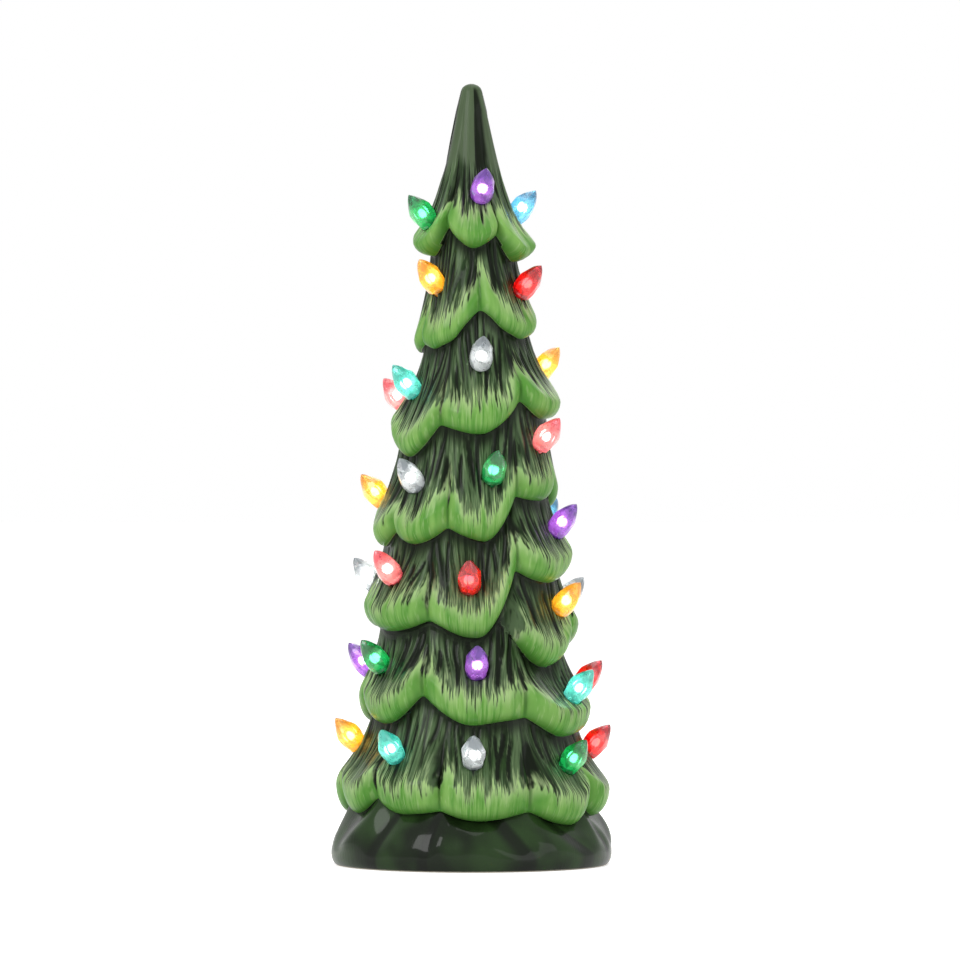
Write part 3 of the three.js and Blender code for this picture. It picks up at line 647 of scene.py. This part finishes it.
def needle_colour(paint, streak, fine, cloud, groove_and_crease_shade, zone):
    """Dark needles with pale streaks of painted highlight along them and painted shade in their grooves and
    creases, evened out on the smooth spire.
    """
    # Pale streaks of painted highlight, standing for the glaze's sheen along the needles
    dark = paint.blend(paint.ramp(streak, 0.38, 0.6), "263a1e", "566d4a")
    dark = paint.blend(paint.ramp(fine, 0.58, 0.7, 0, 0.6), dark, "7a8f6a")
    dark = paint.blend(paint.ramp(fine, 0.32, 0.44, 0.85, 0), dark, "121c0c")
    dark = paint.blend(paint.ramp(cloud, 0.52, 0.7, 0, 0.4), dark, "2c4a20")
    dark = paint.blend(paint.ramp(zone, -0.9, -0.2, 0.85, 0), dark, "536349")
    # Painted shade in the grooves, under the lips and along the notches' seams
    return paint.blend(paint.ramp(groove_and_crease_shade, 0.05, 0.5, 0, 0.96), dark, "0a1206")


def tip_colour(paint, streak, hair, cloud, groove_and_crease_shade, tip):
    """Light paint on the boughs' ends, with a painted highlight towards the top of the band and painted
    shade along its lower edge and in the grooves.
    """
    light = paint.blend(paint.ramp(streak, 0.35, 0.65), "5c973e", "83b35c")
    light = paint.blend(paint.ramp(cloud, 0.45, 0.65, 0, 0.4), light, "4c8c30")
    # Painted highlight: paler towards the top of the band, where the lip faces up to the light
    light = paint.blend(paint.ramp(tip, -1, 4, 0.85, 0), light, "abc988")
    light = paint.blend(paint.ramp(hair, 0.54, 0.7, 0, 0.35), light, "b4d08e")
    # Painted shade in the grooves and creases
    light = paint.blend(paint.ramp(groove_and_crease_shade, 0.2, 0.8, 0, 0.75), light, "36681f")
    # Painted shade: darker along the band's lower edge, where the lip turns under
    return paint.blend(paint.ramp(paint.attribute("above"), -0.5, 3, 0.85, 0), light, "437c2c")


def mound_colour(paint, cloud, groove_and_crease_shade):
    """Plain dark glaze, with painted shade in the hollows of the mound's folds."""
    mound = paint.blend(paint.ramp(cloud, 0.38, 0.62), "0f1b09", "263d1c")
    # Painted shade in the folds' hollows
    return paint.blend(paint.ramp(groove_and_crease_shade, 0.15, 0.9, 0, 0.85), mound, "080f05")


def glaze():
    """Dark needles, light tips brushed on the boughs' ends, a dark mound and bare clay inside."""
    paint = Paint("glaze_finish", Coat_Roughness=0.08, Specular_IOR_Level=0.05)
    stroke = paint.attribute("stroke", vector=True)
    streak, fine, hair = (paint.noise(stroke, scale, 2) for scale in (0.68, 1.5, 2.4))
    cloud = paint.noise(paint.place(), 60, 2)
    groove_and_crease_shade, zone, tip = (paint.attribute(name) for name in ("groove_and_crease_shade", "zone", "tip"))
    ragged = paint.maths("ADD", tip, paint.ramp(fine, 0.3, 0.7, -2.2, 2.2))
    ragged = paint.maths("ADD", ragged, paint.ramp(hair, 0.3, 0.7, -1.3, 1.3))
    mist = paint.maths("MULTIPLY", paint.ramp(ragged, -4.5, 0, 0, 0.75), paint.ramp(hair, 0.42, 0.6))
    dark = paint.blend(mist, needle_colour(paint, streak, fine, cloud, groove_and_crease_shade, zone), "9bb17f")
    light = tip_colour(paint, streak, hair, cloud, groove_and_crease_shade, tip)
    colour = paint.blend(paint.ramp(ragged, -0.9, 1.1), dark, light)
    colour = paint.blend(paint.ramp(zone, 0.2, 0.8), colour, mound_colour(paint, cloud, groove_and_crease_shade))
    colour = paint.blend(paint.ramp(zone, 1.2, 1.8), colour, "d8cfbf")
    rough = paint.maths("ADD", paint.ramp(cloud, 0.3, 0.7, 0.3, 0.42), paint.ramp(zone, 1.2, 1.8, 0, 0.4))
    paint.set(Base_Color=colour, Roughness=rough, Coat_Weight=paint.ramp(zone, 0.2, 0.8, 0.12, 0.3))
    paint.bump(paint.noise(stroke, 2.2, 2), 0.00012, 0.5)
    return paint.material


def bulb_paint(colour, body, deep, glow):
    """Clear tinted plastic with a painted glow as if lit from inside, palest round the belly and deeper in
    colour towards its two ends, and facets painted lighter and darker.
    """
    paint = Paint(f"bulb_{colour}_finish", IOR=1.49, Transmission_Weight=0.5, Coat_Weight=0.8,
                  Coat_Roughness=0.04)
    grain = paint.attribute("grain", vector=True)
    speck = paint.noise(grain, 0.9, 2)
    # Painted glow: paler and brighter round the belly, deeper towards the ends, as if lit by the light pipe
    away = paint.maths("SUBTRACT", paint.attribute("along"), PALEST)
    ends = paint.ramp(paint.maths("ABSOLUTE", away), 0.1, 0.52)
    # Facets painted lighter and darker, as if they caught the light
    facet = paint.node("SeparateXYZ", paint.node("TexVoronoi", grain, None, 0.62, output=1))
    ends = paint.maths("ADD", ends, paint.ramp(facet, 0.25, 0.75, FACET_SHADING, -0.5 * FACET_SHADING))
    ends = paint.maths("ADD", ends, paint.ramp(speck, 0.35, 0.7, -0.1, 0.1))
    tint_and_glow = paint.blend(ends, body, deep)
    paint.set(Base_Color=tint_and_glow, Emission_Color=tint_and_glow, Roughness=paint.ramp(speck, 0.3, 0.7, 0.26, 0.38))
    paint.set(Emission_Strength=paint.ramp(ends, 0, 1, glow, 0.25 * glow))
    return paint.material


def pipe_paint(colour, light):
    """The frosted, glowing end of a light pipe."""
    paint = Paint(f"light_{colour}_finish", Roughness=0.4, Emission_Strength=PIPE_GLOW)
    speck = paint.noise(paint.attribute("grain", vector=True), 1.2, 2)
    paint.set(Base_Color=light, Emission_Color=paint.blend(speck, light, "ffffff"))
    return paint.material


# The glaze's guides, worked out again from where each point of the finished casting is

# In mm: height of the light band, what the first row and the notches add to it, how much a groove or
# painted shade takes off it, and a tip value far from any light paint
TIP_BAND, TOP_BAND, NOTCH_BAND, GROOVE_BITE, UNPAINTED = 5.8, 1.5, 7, 4, -9
# The painted shade under a lip and how far down it reaches, and the painted shade along the seam in a notch
CREASE_SHADE, SHADE_DROP, SEAM_SHADE, SEAM_WIDTH = 0.42, 6.5, 0.85, 0.05
# A lip's underside: how far over the edge and how far out of the crease it still counts as the row below
UNDER_HEIGHT, UNDER_DEPTH, LEAST_UNDER, UNDER_PART = 0.9, 0.7, 0.1, 0.4
# Radius at which the strokes of the spire are drawn, in mm
SPIRE_SPAN = 10


def cavity_radius(z):
    """Radius of the cavity at each height."""
    rings = sorted(inside_rings()[2:], key=lambda ring: ring[1])
    return np.interp(z, [ring[1] for ring in rings], [ring[0] for ring in rings], right=0)


def row_of(azimuth, radius, z):
    """The number of the row that each point is on, counted from the top, or of the mound."""
    row = np.zeros(len(z), int)
    for i in range(len(ROWS)):
        height, lip, crease, _, there = row_at(i, azimuth)
        under = np.clip(UNDER_PART * (lip + shift_at(i, azimuth) - crease), LEAST_UNDER, UNDER_DEPTH)
        behind = (z < height + UNDER_HEIGHT) & (radius < crease + mix(UNDER_DEPTH, under, there))
        row += (z < height + there * lump_at(i, azimuth) - 0.1) | behind
    return row


def row_guides(i, azimuth, z):
    """Height above row i's edge, grooves with their painted shade, tip and azimuth of the stroke for points
    on that row.
    """
    height, _, _, notch, there = row_at(i, azimuth)
    top = flank_at(i, azimuth, 0.0)[1]
    low = flank_at(i, azimuth, 1.0)[1]
    share = np.clip((top - z) / (top - low), 0, 1)
    above = z - height
    groove_and_crease_shade = carved_at(i, azimuth) * groove_at(i, azimuth, share)
    # Painted shade along the seam in each notch and under the lip above
    seam = there * np.exp(-(((1 - notch) / SEAM_WIDTH) ** 2)) * smooth(share, 0.35, 0.6)
    groove_and_crease_shade = np.maximum(groove_and_crease_shade, SEAM_SHADE * seam)
    if i:
        shade = CREASE_SHADE * (1 - smooth(eave_at(i, azimuth) - z, 0.5, SHADE_DROP))
        groove_and_crease_shade = np.maximum(groove_and_crease_shade, shade)
    root = flow_at(i, azimuth, share)
    band = mix(TIP_BAND, NOTCH_BAND, notch**2) + brush_at(i, root % 360)
    band += TOP_BAND if i == 0 else 0
    return above, groove_and_crease_shade, mix(UNPAINTED, band - GROOVE_BITE * groove_and_crease_shade - above, there), root


def add_guides(mesh):
    """Adds the attributes above, groove_and_crease_shade, tip, zone and stroke, which the glaze is painted
    by; groove_and_crease_shade is painted shade in the grooves, creases, seams and folds.
    """
    points = np.empty(len(mesh.vertices) * 3, np.float32)
    mesh.vertices.foreach_get("co", points)
    x, y, z = points.reshape(-1, 3).T.astype(float) / MM
    radius = np.hypot(x, y)
    azimuth = np.degrees(np.arctan2(x, -y)) % 360
    above, groove_and_crease_shade, tip, span = (np.zeros(len(z)) for _ in range(4))
    root = azimuth.copy()
    row = row_of(azimuth, radius, z)
    for i in range(len(ROWS)):
        here = row == i
        above[here], groove_and_crease_shade[here], tip[here], root[here] = row_guides(i, azimuth[here], z[here])
        span[here] = ROWS[i]["lip"] * BASE / 100
    mound = row == len(ROWS)
    foot = row_at(len(ROWS) - 1, azimuth)[0]
    drop = np.clip((foot - z) / (foot - SHOULDER), 0, 1)
    # Painted shade in the hollows of the mound's folds
    groove_and_crease_shade[mound] = np.clip(-drape_at(azimuth, drop), 0, 1)[mound]
    span[mound] = BASE
    tip[mound] = UNPAINTED
    spire = row == 0
    top, low = flank_at(0, azimuth, 0.0)[1], flank_at(0, azimuth, 1.0)[1]
    share = np.clip((top - z) / (top - low), 0, 1)
    # Painted shade along the spire's folds
    groove_and_crease_shade[spire] = np.maximum(groove_and_crease_shade, flute_at(azimuth, share) * smooth(z, HEIGHT, HEIGHT - 4))[spire]
    calm = spire * (1 - smooth(share, 0.34, 0.6))
    span[spire] = SPIRE_SPAN
    inside = radius < cavity_radius(z) + 0.8
    inside |= (z < 0.05) | ((radius < RECESS + 0.1) & (z < LEDGE + 0.1))
    zone = np.where(inside, 2.0, mound * 1.0 - calm)
    for name, values in (("above", above), ("groove_and_crease_shade", groove_and_crease_shade), ("tip", tip), ("zone", zone)):
        mesh.attributes.new(name, "FLOAT", "POINT").data.foreach_set("value", values.astype(np.float32))
    a = np.radians(root)
    stroke = np.stack([span * np.sin(a), -span * np.cos(a), 0.09 * z + 37 * row], -1)
    layer = mesh.attributes.new("stroke", "FLOAT_VECTOR", "POINT")
    layer.data.foreach_set("vector", stroke.astype(np.float32).ravel())


def add_piece(name, mesh, node):
    """Puts the mesh in the scene as a piece of the body that stands for a node."""
    mesh.name = name
    piece = bpy.data.objects.new(name, mesh)
    bpy.context.collection.objects.link(piece)
    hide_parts(node)
    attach(piece, "body")


def round_off(mesh, angle):
    """Smooth shading, with edges sharper than this many degrees left crisp."""
    mesh.shade_smooth()
    mesh.set_sharp_from_angle(angle=math.radians(angle))


places = bulb_places()
tree = cut(casting(), socket_cutter(places))
mend(tree)
add_guides(tree)
round_off(tree, 60)
tree.materials.clear()
tree.materials.append(glaze())
add_piece("glazed_tree", tree, "tree_shell")

# Bulbs: body colour, deeper colour at its ends where the painted glow fades, how brightly the body's
# painted glow shines, and the light's own colour
BULBS = {
    "green": ("18ab55", "045a2a", 0.5, "c4ffd8"),
    "purple": ("a45cc4", "5a2a8a", 0.5, "f4e2ff"),
    "blue": ("6cc6e4", "1f6f95", 0.35, "eefaff"),
    "amber": ("fcc234", "cc9018", 0.5, "fff8dc"),
    "red": ("dc0c08", "8c040c", 0.5, "fff0ea"),
    "white": ("e9eced", "747c81", 0.17, "ffffff"),
    "aqua": ("6edccc", "34a79a", 0.45, "e8fffb"),
    "pink": ("f29a94", "d0505c", 0.45, "fff0ec"),
}


def add_grain(mesh):
    """Keeps each point's own place on the bulb, in mm, and how far along the bulb it is, 0 to 1."""
    points = np.empty(len(mesh.vertices) * 3, np.float32)
    mesh.vertices.foreach_get("co", points)
    mesh.attributes.new("grain", "FLOAT_VECTOR", "POINT").data.foreach_set("vector", points / MM)
    mesh.attributes.new("along", "FLOAT", "POINT").data.foreach_set("value", points[2::3] / MM / LENGTH)


def bulb_meshes():
    """One mesh of each colour: the drop, and its light pipe's end in a second material."""
    meshes = {}
    pipe = pipe_mesh()
    for colour, (body, deep, glow, light) in BULBS.items():
        mesh = bulb_mesh(colour)
        both = bmesh.new()
        both.from_mesh(mesh)
        count = len(both.faces)
        both.from_mesh(pipe)
        both.faces.ensure_lookup_table()
        for face in both.faces[count:]:
            face.material_index = 1
        both.to_mesh(mesh)
        add_grain(mesh)
        mesh.materials.append(bulb_paint(colour, body, deep, glow))
        mesh.materials.append(pipe_paint(colour, light))
        round_off(mesh, 16)
        meshes[colour] = mesh
    return meshes


meshes = bulb_meshes()
for row, number, colour, matrix in places:
    spin = Matrix.Rotation(rng.uniform(0, 2 * math.pi), 4, "Z")
    mesh = meshes[colour].copy()
    mesh.transform(matrix @ spin)
    add_piece(f"bulb_{row}_{number}", mesh, f"bulb_row{row}_{number}_{colour}")


# The lamp unit keeps its solids and gets its own finishes

def finish(slot, low, high, scale, rough, stretch=(1, 1, 1), bump=0.00003, **constants):
    """A mottled finish between two colours."""
    paint = Paint(slot + "_finish", **constants)
    place = paint.place(stretch)
    mottle = paint.noise(place, scale, 3)
    paint.set(Base_Color=paint.blend(paint.ramp(mottle, 0.35, 0.65), low, high))
    paint.set(Roughness=paint.ramp(mottle, 0.3, 0.7, rough - 0.06, rough + 0.06))
    paint.bump(paint.noise(place, 4 * scale, 2), bump, 0.4)
    return paint


def tracks(paint):
    """Paler copper tracks under the board's lacquer."""
    wave = paint.node("TexWave", paint.place(), 90.0, output=1, bands_direction="Y")
    line = paint.ramp(wave, 0.62, 0.74)
    patch = paint.ramp(paint.noise(paint.place((1, 0.2, 0.2)), 160, 0), 0.48, 0.52)
    colour = paint.shader.inputs["Base Color"].links[0].from_socket
    paint.set(Base_Color=paint.blend(paint.maths("MULTIPLY", line, patch), colour, "5aa068"))


# Distance from a cell's middle, in mm, to the dark ring at its end and to the bare metal beyond it
RING_START, METAL_START = 16.8, 20.6


def cell_ends(paint):
    """Bare metal at both ends of a cell, with a dark ring beside each."""
    x = paint.maths("ABSOLUTE", paint.node("SeparateXYZ", paint.place(), output=0))
    colour = paint.shader.inputs["Base Color"].links[0].from_socket
    colour = paint.blend(paint.ramp(x, RING_START * MM, (RING_START + 0.2) * MM), colour, "3b4046")
    end = paint.ramp(x, METAL_START * MM, (METAL_START + 0.2) * MM)
    paint.set(Base_Color=paint.blend(end, colour, "c9cacb"), Metallic=end)


UNIT = {
    "white_plastic": finish("white_plastic", "e4e3df", "eeedea", 260, 0.42),
    "black_plastic": finish("black_plastic", "141517", "212326", 500, 0.5),
    "grey_vinyl": finish("grey_vinyl", "73777a", "868a8c", 700, 0.45),
    "circuit_board": finish("circuit_board", "14502c", "1d6538", 300, 0.35),
    "led": finish("led", "f3d978", "fbeaa8", 900, 0.3, Emission_Color="fff1cf",
                  Emission_Strength=0.8),
    "tinned_metal": finish("tinned_metal", "b9bbbd", "d2d4d5", 500, 0.28, (1, 1, 6), Metallic=1.0),
    "cell_jacket": finish("cell_jacket", "a9aeb3", "bfc3c7", 300, 0.32, Coat_Weight=0.3),
}
tracks(UNIT["circuit_board"])
cell_ends(UNIT["cell_jacket"])
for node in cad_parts.values():
    for slot in node.material_slots:
        if slot.material.name in UNIT:
            paint = UNIT[slot.material.name]
            slot.link = "OBJECT"
            slot.material = paint.material

# Floor, backdrop and lights

def backdrop_ray(tree, otherwise, seen):
    """A socket: one value where the camera, gloss or glass sees the surface, another for its light."""
    path = tree.nodes.new("ShaderNodeLightPath")
    total = path.outputs["Is Camera Ray"]
    for kind in ("Is Glossy Ray", "Is Transmission Ray"):
        both = tree.nodes.new("ShaderNodeMath")
        both.use_clamp = True
        tree.links.new(total, both.inputs[0])
        tree.links.new(path.outputs[kind], both.inputs[1])
        total = both.outputs[0]
    level = tree.nodes.new("ShaderNodeMapRange")
    tree.links.new(total, level.inputs[0])
    level.inputs["To Min"].default_value = otherwise
    level.inputs["To Max"].default_value = seen
    return level.outputs[0]


# How bright the floor is for the camera on top of the light it gets, and the sky as a light
FLOOR_GLOW, SKY_LIGHT = 0.6, 0.45

floor_mesh = bpy.data.meshes.new("floor")
floor_mesh.from_pydata([(-8, -3, 0), (8, -3, 0), (8, 12, 0), (-8, 12, 0)], [], [(0, 1, 2, 3)])
floor = bpy.data.objects.new("floor", floor_mesh)
bpy.context.collection.objects.link(floor)
floor_paint = Paint("floor", Roughness=0.7, Emission_Color="ffffff")
floor_paint.set(Base_Color=floor_paint.blend(floor_paint.noise(floor_paint.place(), 3), "f2f2f0", "f8f8f6"))
floor_paint.set(Emission_Strength=backdrop_ray(floor_paint.material.node_tree, 0, FLOOR_GLOW))
floor_mesh.materials.append(floor_paint.material)

world = bpy.data.worlds.new("studio")
bpy.context.scene.world = world
world.use_nodes = True
sky = world.node_tree.nodes["Background"]
sky.inputs[0].default_value = (1, 1, 1, 1)
world.node_tree.links.new(backdrop_ray(world.node_tree, SKY_LIGHT, 1), sky.inputs[1])


def lamp(name, place, size, power):
    """A soft square light aimed at the middle of the tree."""
    data = bpy.data.lights.new(name, "AREA")
    data.size, data.energy = size, power
    light = bpy.data.objects.new(name, data)
    light.location = place
    light.rotation_euler = (Vector((0, 0, 0.1)) - Vector(place)).to_track_quat("-Z", "Y").to_euler()
    bpy.context.collection.objects.link(light)


# Name, place in metres, size in metres and power in watts
lamp("key", (-0.8, -1.0, 0.9), 0.7, 9)
lamp("fill", (1.1, -0.8, 0.4), 0.9, 4)
lamp("top", (0.1, 0.1, 1.3), 0.8, 4)
lamp("rear", (0.3, 1.1, 0.9), 0.9, 3)
